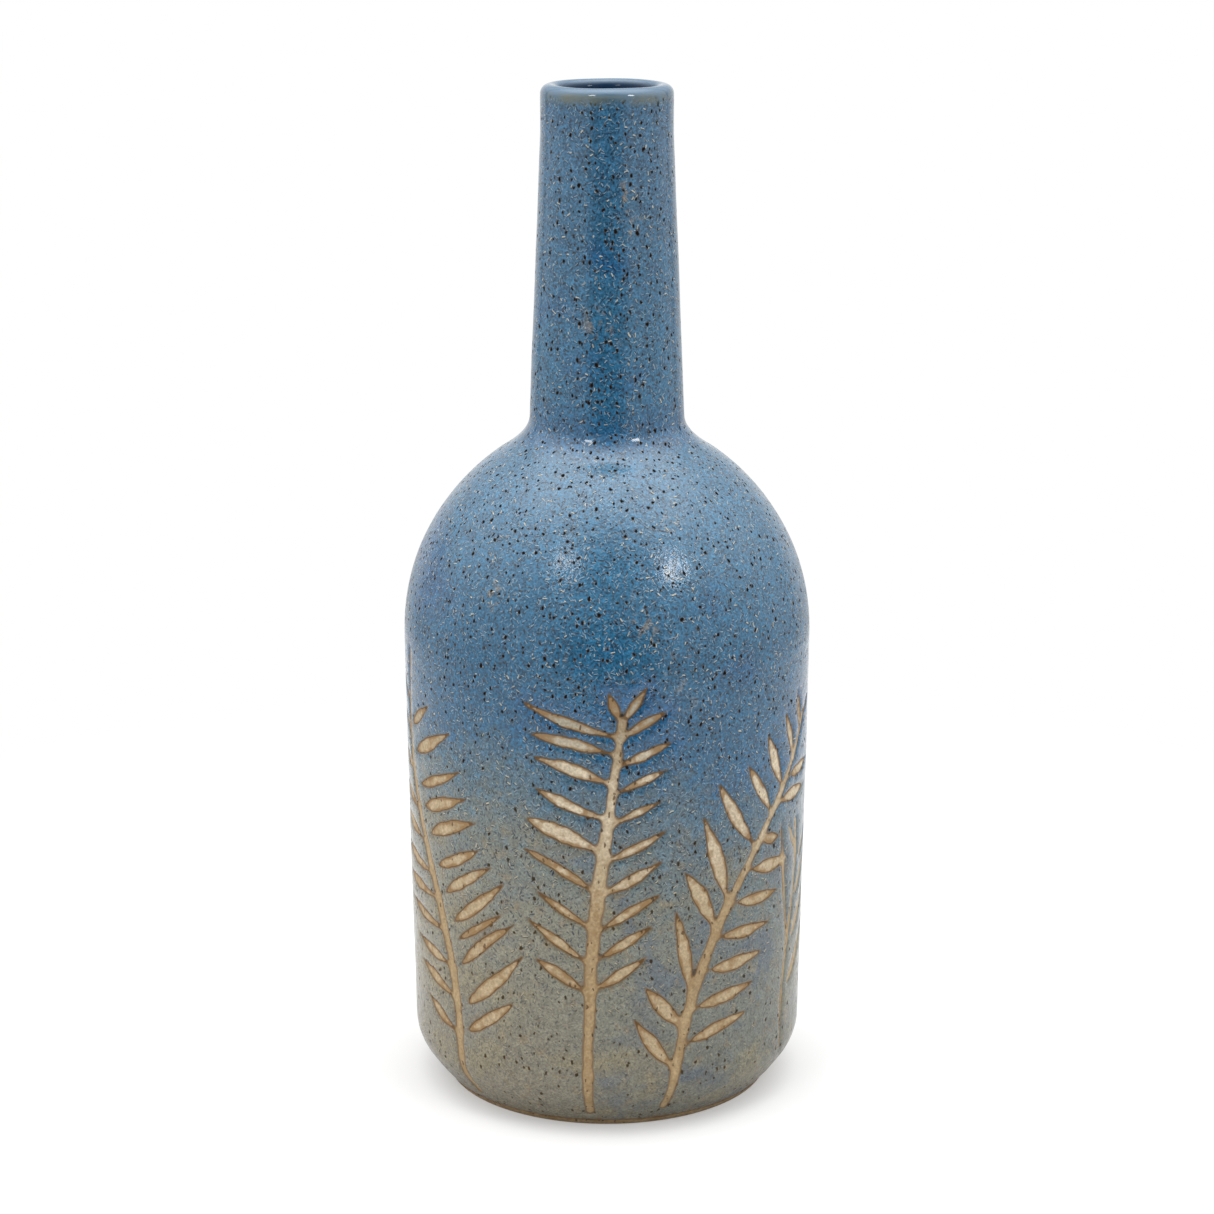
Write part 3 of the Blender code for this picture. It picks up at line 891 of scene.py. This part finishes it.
class Glaze(Carved):
    """Mottled blue that thins to grey-green low down, with iron specks, flecks and burnt edges.

    Low and high are masks of the thin and of the full coat, plain is one of the lip and busy one
    of the rest. Crease is the distance in height from the shoulder's crease.
    """

    def __init__(self, name):
        super().__init__(name)
        self.mottle = self.noise(430.0, 3.0, 0.3)
        self.grain = self.noise(1800.0, 2.0)
        level = self.sway(self.height, self.noise(38.0, 3.0), 0.024)
        level = self.sway(level, self.mottle, 0.030)
        self.level = self.maths("MULTIPLY_ADD", self.x, COAT_SLANT, level)
        self.low = self.step(self.level, *LOW_COAT)
        self.high = self.step(self.level, *HIGH_COAT)
        self.plain = self.step(self.height, *PLAIN_LIP)
        self.busy = self.maths("SUBTRACT", 1.0, self.plain)
        rise = self.maths("SUBTRACT", self.height, SHOULDER_HEIGHT)
        self.crease = self.maths("ABSOLUTE", rise)


def glaze_ground(g):
    """The colours up the vase, with their clouds, pools and stains."""
    colour = g.ramp(g.maths("DIVIDE", g.level, HEIGHT), GLAZE_BY_HEIGHT)
    cloud = g.noise(30.0, 3.0, 0.4)
    near = g.times(g.step(g.edge, 4.8, 1.0), g.step(cloud, 0.30, 0.50))
    clouded = g.times(g.step(cloud, 0.56, 0.72), g.step(g.crease, 0.008, 0.020))
    above = g.step(g.height, SHOULDER_HEIGHT - 0.003, SHOULDER_HEIGHT + 0.001)
    gathered = g.times(g.step(g.crease, 0.014, 0.002), above, 0.7)
    deep = g.most(g.times(g.most(clouded, near), g.high), gathered)
    colour = g.mix(g.times(deep, 0.75), colour, DEEP_BLUE)

    pools = g.step(g.noise(50.0, 3.0, 0.8), 0.52, 0.66)
    rightward = g.span(g.step(g.x, -0.030, 0.0), 0.3, 1.0)
    colour = g.mix(g.times(pools, g.low, rightward, 0.60), colour, POOLED_BLUE)
    # Partly painted shade: the low right side is made a greener grey and darker
    right = g.times(g.step(g.x, -0.032, 0.032), g.low)
    colour = g.mix(right, colour, RIGHT_TINT_AND_SHADE, "MULTIPLY")

    rust = g.step(g.noise(330.0, 2.0), 0.56, 0.70)
    colour = g.mix(g.times(rust, g.low, 0.45), colour, RUST)
    patches = g.step(g.noise(55.0, 2.0), 0.56, 0.68)
    rust = g.times(patches, g.step(g.mottle, 0.53, 0.63))
    colour = g.mix(g.times(rust, g.high, 0.6), colour, RUST)
    flattened = g.vector("MULTIPLY", g.coords, (1.0, 1.0, 2.0))[0]
    ochre = g.step(g.noise(38.0, 3.0, 0.5, flattened), 0.50, 0.66)
    return g.mix(g.times(ochre, g.low, 0.55), colour, OCHRE)


def glaze_grained(g, colour):
    """The colours with the fine grain that all but the lip has."""
    grain = g.sway(1.0, g.grain, g.span(g.low, 3.0, 1.6))
    shade = g.times(g.span(g.mottle, 0.55, 1.45), grain)
    return g.mix(g.busy, colour, g.grey(shade), "MULTIPLY")


def glaze_dashed(g, colour):
    """The colours with three layers of dashes, their painted shadows, and a mask of the dashes."""
    loose = g.frayed(0.0008, 600.0, 1.0)
    upward = g.span(g.step(g.height, 0.005, 0.080), 0.4, 1.0)
    pale = g.mix(g.low, PALE_BLUE, TAN_THREAD)
    fleck = g.mix(g.low, PALE_FLECK, TAN_FLECK)
    ridges = 0.0
    for spacing, length, width, share, strength, tint in (
        (1.05 * MM, 1.1 * MM, 0.26 * MM, 0.60, 1.00, DARK_THREAD_AND_SHADOW),
        (1.15 * MM, 1.0 * MM, 0.22 * MM, 0.68, 0.85, pale),
        (2.00 * MM, 0.9 * MM, 0.28 * MM, 0.34, 1.00, fleck),
    ):
        bold = g.times(g.busy, upward, strength)
        masks = g.dashes(spacing, length, width, share, loose)
        dash, shadow = (g.times(mask, bold) for mask in masks)
        # Painted shadow: a lowered copy of each dash, in the dark thread colour
        colour = g.mix(shadow, colour, DARK_THREAD_AND_SHADOW)
        colour = g.mix(dash, colour, tint)
        ridges = g.maths("ADD", ridges, dash)
    return colour, ridges


def glaze_specked(g, colour):
    """The colours with iron specks, and a mask of the specks."""
    torn = g.frayed(0.0009, 900.0)
    often = g.span(g.high, 0.45, 0.95)
    specks = g.times(g.spots(SPECK_SPACING, 0.47 * MM, often, torn), g.busy)
    colour = g.mix(g.times(specks, 0.85), colour, IRON_EDGE)
    cores = g.times(g.spots(SPECK_SPACING, 0.36 * MM, often, torn), g.busy)
    colour = g.mix(g.times(cores, g.span(g.low, 1.0, 0.4)), colour, IRON)
    return colour, specks


def glaze_mouth(g, colour):
    """The colours with the lip, its olive band and painted shade in the throat, and its mask."""
    colour = g.mix(g.plain, colour, LIP_BLUE)
    band = g.times(g.step(g.height, *OLIVE_LOWER), g.step(g.height, *OLIVE_UPPER))
    patchy = g.step(g.noise(110.0, 3.0), 0.30, 0.75)
    colour = g.mix(g.times(band, patchy), colour, OLIVE)
    level = g.vector("MULTIPLY", g.coords, (1.0, 1.0, 0.0))[0]
    inward = g.step(g.vector("LENGTH", level)["Value"], *THROAT_RADIUS)
    throat = g.times(inward, g.step(g.height, *THROAT_HEIGHT))
    # Painted shade: the glaze inside the mouth is darkened to near-black
    return g.mix(throat, colour, THROAT_SHADE), throat


def glaze_scorched(g, colour):
    """The colours with the coat burnt along the sprigs' edges."""
    ragged = g.ragged(g.edge, 700.0, 2.0, 0.25)
    scorch = g.times(g.step(ragged, 0.45, 0.05), g.span(g.worn, 0.85, 0.15))
    return g.mix(scorch, colour, g.mix(g.low, BURNT_EDGE, TOASTED_EDGE))


def glaze_material():
    """The glaze with its colours, gloss and relief."""
    g = Glaze("blue_glaze")
    colour, ridges = glaze_dashed(g, glaze_grained(g, glaze_ground(g)))
    colour, specks = glaze_specked(g, colour)
    colour, throat = glaze_mouth(g, colour)
    # The throat's painted shade also takes away most of its reflection
    dull = g.most(specks, g.times(throat, 0.8))
    still = g.most(g.plain, g.step(g.crease, 0.005, 0.002))
    rough = g.span(g.step(g.mottle, 0.40, 0.62), 0.04, 0.18)
    relief = g.maths("ADD", g.times(g.mottle, 0.55), g.times(g.grain, 0.20))
    raised = g.times(g.maths("SUBTRACT", ridges, specks), 0.2)
    calm = g.span(g.step(g.height, *CALM_NECK), 1.0, 0.35)
    relief = g.times(g.maths("ADD", relief, raised), g.span(still, 1.0, 0.2), calm)
    g.paint({
        "Base Color": glaze_scorched(g, colour),
        "IOR": 1.65,
        "Specular IOR Level": g.span(dull, 0.5, 0.0),
        "Roughness": g.times(rough, g.span(still, 1.0, 0.4)),
        "Normal": g.bump(relief, GLAZE_RELIEF),
    })
    return g.owner


CLAY_PALE = (0.670, 0.580, 0.435)
CLAY_SMOKED = (0.400, 0.365, 0.285)
CLAY_LIGHT = (0.490, 0.385, 0.245)
CLAY_DARK = (0.350, 0.248, 0.138)
CLAY_BROWN = (0.265, 0.150, 0.054)
CLAY_RIM = (0.115, 0.056, 0.017)
CLAY_PIT = (0.090, 0.050, 0.020)
STEM_LOW = (0.88, 0.83, 0.74)
STEM_HIGH = (0.95, 0.94, 0.91)
# Shares of the cells that have a pit
PITS = 0.25
STEM_PITS = 0.60
CLAY_RELIEF = 0.00014


def sandy(g, light, dark):
    """Colours of sandy clay between two, and its grain."""
    broad = g.span(g.noise(110.0, 3.0), -0.3, 1.0)
    fine = g.span(g.noise(900.0, 3.0), -0.3, 0.4)
    tone = g.step(g.maths("ADD", broad, fine), -0.15, 0.5)
    grain = g.noise(1500.0, 3.0)
    shade = g.grey(g.span(grain, 0.40, 1.60))
    return g.mix(1.0, g.mix(tone, dark, light), shade, "MULTIPLY"), grain


def pitted(g, colour, share):
    """Colours with small pits in that share of the cells, and a mask of the pits."""
    pits = g.spots(1.3 * MM, 0.36 * MM, share, g.frayed(0.0010, 800.0, 0.40))
    return g.mix(g.times(pits, 0.8), colour, CLAY_PIT), pits


def fired(g, colour, grain, pits):
    """The material of clay in those colours."""
    relief = g.maths("SUBTRACT", g.times(grain, 0.6), g.times(pits, 0.6))
    g.paint({
        "Base Color": colour,
        "Specular IOR Level": 0.25,
        "Roughness": g.span(grain, 0.5, 0.8),
        "Normal": g.bump(relief, CLAY_RELIEF),
    })
    return g.owner


def hidden_clay(name, light, dark):
    """Material of a piece that the coats hide."""
    g = Graph(bpy.data.materials.new(name))
    colour, grain = sandy(g, light, dark)
    colour, pits = pitted(g, colour, PITS)
    return fired(g, colour, grain, pits)


def sprig_light(g):
    """The lighter colour: paler higher up, smoked at the top, and toned down in the stems."""
    inner = g.step(g.x, -0.042, -0.024)
    pale = g.times(g.step(g.height, 0.052, 0.086), inner)
    light = g.mix(pale, CLAY_LIGHT, CLAY_PALE)
    light = g.mix(g.step(g.height, 0.090, 0.108), light, CLAY_SMOKED)
    tint = g.mix(g.step(g.height, 0.052, 0.072), STEM_LOW, STEM_HIGH)
    return g.mix(g.stem, light, tint, "MULTIPLY")


def sprig_browned(g, colour):
    """The colours with stains, browned edges, scraped lines, and a groove along the stems."""
    ragged = g.ragged(g.edge, 420.0, 3.0, 1.2)
    stains = g.spots(4.5 * MM, 1.1 * MM, 0.60, g.frayed(0.0022, 420.0))
    edges = g.times(g.step(ragged, -1.1, -0.20), g.span(g.stem, 1.0, 0.5))
    edges = g.times(edges, g.span(g.worn, 1.0, 0.25))
    lines = g.maths("SINE", g.times(ragged, 14.0))
    scraped = g.times(g.step(lines, 0.3, 0.9), 0.22)
    groove = g.times(g.step(ragged, -0.7, -1.3), g.step(g.height, 0.080, 0.060))
    middle = g.step(g.maths("ABSOLUTE", g.x), 0.009, 0.006)
    groove = g.times(groove, g.stem, g.span(middle, 0.10, 0.65))
    brown = g.most(g.times(stains, 0.6), edges, scraped, groove)
    return g.mix(g.times(brown, 0.85), colour, CLAY_BROWN)


def sprig_rimmed(g, colour):
    """The colours with a dark rim along the edges, and beads of iron on it."""
    ragged = g.ragged(g.edge, 900.0, 2.0, 0.20)
    rim = g.times(g.step(ragged, -0.34, -0.10), g.span(g.worn, 0.9, 0.25))
    colour = g.mix(g.times(rim, g.span(g.stem, 1.0, 0.6)), colour, CLAY_RIM)
    beads = g.spots(1.3 * MM, 0.42 * MM, 0.50, g.frayed(0.0008, 900.0))
    return g.mix(g.times(beads, g.step(g.edge, -0.60, -0.30)), colour, IRON_EDGE)


def sprig_material():
    """Buff stoneware, bare in the sprigs and at the foot, with brown stains, stems and rims."""
    g = Carved("buff_stoneware")
    g.stem = g.mark("stem")
    colour, grain = sandy(g, sprig_light(g), CLAY_DARK)
    often = g.span(g.stem, PITS, STEM_PITS)
    colour, pits = pitted(g, sprig_browned(g, colour), often)
    return fired(g, sprig_rimmed(g, colour), grain, pits)


LINING_DARK = (0.004, 0.026, 0.080)
LINING_LIGHT = (0.008, 0.050, 0.130)
LINING_RELIEF = 0.00012


def lining_material():
    """Dark glossy blue inside, clouded and a little uneven."""
    g = Graph(bpy.data.materials.new("dark_blue_lining"))
    colour = g.mix(g.step(g.noise(90.0, 4.0), 0.35, 0.7), LINING_DARK, LINING_LIGHT)
    specks = g.spots(2.4 * MM, 0.40 * MM, 0.30, g.frayed(0.0008, 900.0))
    g.paint({
        "Base Color": g.mix(specks, colour, IRON),
        "Specular IOR Level": 0.3,
        "Roughness": g.span(g.noise(300.0, 3.0), 0.04, 0.16),
        "Normal": g.bump(g.noise(420.0, 3.0), LINING_RELIEF),
    })
    return g.owner


WHITE = (1.0, 1.0, 1.0)

# The table: its radius, how far it lies under the foot, its greys, its glow for the camera, the
# share of its white that the glaze mirrors, and from where to where it fades to white
TABLE_RADIUS = 0.45
TABLE_DROP = 0.0002
TABLE_GREYS = ((0.62, 0.62, 0.62), (0.66, 0.66, 0.66))
TABLE_GLOW = 0.26
TABLE_MIRRORED = 0.30
TABLE_FADE = (0.06, 0.34)


def make_floor():
    """Round white table that keeps the shadow near the vase and fades to the white background."""
    turn = np.linspace(0, 2 * math.pi, 96, endpoint=False)
    ring = np.stack([np.cos(turn), np.sin(turn), 0 * turn], -1) * TABLE_RADIUS
    mesh = bpy.data.meshes.new("table")
    mesh.from_pydata(ring.tolist(), [], [tuple(range(len(ring)))])
    floor = new_object("table", mesh)
    floor.location.z = -TABLE_DROP
    g = Graph(bpy.data.materials.new("white_table"))
    path = g.add("LightPath").outputs
    g.paint({
        "Base Color": g.mix(g.noise(3.0, 2.0), *TABLE_GREYS),
        "Roughness": 0.9,
        "Specular IOR Level": 0.0,
        "Emission Color": WHITE,
        "Emission Strength": g.times(path["Is Camera Ray"], TABLE_GLOW),
    })
    seen = g.most(path["Is Camera Ray"], g.times(path["Is Glossy Ray"], TABLE_MIRRORED))
    faded = g.step(g.vector("LENGTH", g.coords)["Value"], *TABLE_FADE)
    white = g.add("Emission", {"Color": WHITE, "Strength": 1.0})
    g.output(g.blend(g.times(seen, faded), g.shader, white), "Material Output")
    mesh.materials.append(g.owner)
    floor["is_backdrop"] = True


# What the glaze mirrors near the horizon, from in front of the vase (0) to behind it (1): dark
# behind the camera, pale walls, a narrow grey gap and the white background
STUDIO = (
    (0.00, (0.10, 0.10, 0.11)),
    (0.03, (0.20, 0.20, 0.21)),
    (0.10, (0.92, 0.92, 0.92)),
    (0.40, (0.97, 0.97, 0.97)),
    (0.55, (1.05, 1.05, 1.05)),
    (0.77, (1.05, 1.05, 1.05)),
    (0.79, (0.50, 0.50, 0.50)),
    (0.82, (0.50, 0.50, 0.50)),
    (0.84, (0.95, 0.95, 0.95)),
)
CEILING = (0.52, 0.52, 0.53)
CEILING_SIDES = (0.90, 0.90, 0.90)
EVEN_LIGHT = 0.41


def make_world():
    """Even light for the surfaces, white for the camera, and the studio's walls in reflections."""
    world = bpy.data.worlds.new("studio")
    bpy.context.scene.world = world
    g = Graph(world, "Generated")
    toward = g.axes()
    walls = g.ramp(g.maths("MULTIPLY_ADD", toward["Y"], 0.5, 0.5), STUDIO)
    walls = g.mix(g.times(g.step(toward["Z"], -0.02, -0.20), 0.25), walls, (0.0, 0.0, 0.0))
    sides = g.step(g.maths("ABSOLUTE", toward["X"]), 0.0, 0.5)
    above = g.times(g.step(toward["Z"], 0.12, 0.36), g.step(toward["Y"], 0.70, 0.45))
    room = g.mix(above, walls, g.mix(sides, CEILING, CEILING_SIDES))
    path = g.add("LightPath").outputs
    even = g.add("Background", {"Color": WHITE, "Strength": EVEN_LIGHT})
    mirrored = g.add("Background", {"Color": room, "Strength": 1.0})
    white = g.add("Background", {"Color": WHITE, "Strength": 1.0})
    lit = g.blend(path["Is Glossy Ray"], even, mirrored)
    seen = g.most(path["Is Camera Ray"], path["Is Transmission Ray"])
    g.output(g.blend(seen, lit, white), "World Output")


# Lamps: name, azimuth from the front, elevation, distance, (width, height), radiance, whether the
# glaze mirrors it, and spread
LAMPS = (
    ("front_left", -31, 43, 1.5, (0.26, 0.28), 7.2, True, 180),
    ("front_right", 47, 38, 1.5, (0.28, 0.30), 10.0, True, 180),
    ("side_left", -58, 12, 1.3, (0.9, 1.0), 1.5, False, 180),
    ("side_right", 70, 15, 1.3, (0.9, 1.0), 0.7, False, 180),
    ("top", 180, 84, 1.2, (2.4, 2.4), 2.3, True, 90),
    ("top_left", -100, 55, 1.2, (2.8, 2.8), 1.5, True, 100),
    ("top_right", 100, 55, 1.2, (2.8, 2.8), 1.5, True, 100),
)


def make_lamp(name, azimuth, elevation, distance, size, radiance, mirrored, spread):
    """A soft box that faces the vase.

    The radiance is that of its middle. With a spread below 180 degrees it fades towards its rim, to
    nothing where the vase sees it at half the spread from its axis.
    """
    data = bpy.data.lights.new(name, "AREA")
    data.shape = "ELLIPSE"
    data.size, data.size_y = size
    data.spread = math.radians(spread)
    kept = 1 - data.spread / 2 / math.tan(data.spread / 2)
    data.energy = radiance * math.pi * (math.pi / 4 * size[0] * size[1]) * kept
    lamp = new_object(name, data)
    a, e = math.radians(azimuth), math.radians(elevation)
    away = Vector((math.sin(a) * math.cos(e), -math.cos(a) * math.cos(e), math.sin(e)))
    lamp.location = Vector((0, 0, HEIGHT / 2)) + away * distance
    lamp.rotation_euler = away.to_track_quat("Z", "Y").to_euler()
    lamp.visible_camera = False
    lamp.visible_glossy = mirrored


def make_camera():
    data = bpy.data.cameras.new("photo")
    data.lens = CAMERA_LENS
    data.sensor_width = SENSOR_WIDTH
    camera = new_object("photo", data)
    camera.location = CAMERA_PLACE
    camera.rotation_euler = (math.radians(90 - CAMERA_PITCH), 0, 0)
    bpy.context.scene.camera = camera


def dress(piece, node):
    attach(piece, "root")
    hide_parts(node)


def make_scene():
    """The pieces, the table, the light and the camera."""
    bpy.context.scene.view_settings.view_transform = "Standard"
    field = draw_field()
    dress(make_glaze(field, glaze_material()), "outer_glaze")
    dress(make_clay(field, sprig_material()), "body")
    dress(make_lining(lining_material()), "lining_glaze")
    for node, material in (
        ("neck", hidden_clay("neck_stoneware", CLAY_LIGHT, CLAY_DARK)),
        ("luting_coil", hidden_clay("joint_clay", CLAY_DARK, CLAY_RIM)),
    ):
        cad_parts[node].data.materials.clear()
        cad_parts[node].data.materials.append(material)
    make_floor()
    make_world()
    for lamp in LAMPS:
        make_lamp(*lamp)
    make_camera()


make_scene()
boxes = {"cad": cad_box, "visual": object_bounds()}
{name: [list(corner) for corner in box] for name, box in boxes.items()}
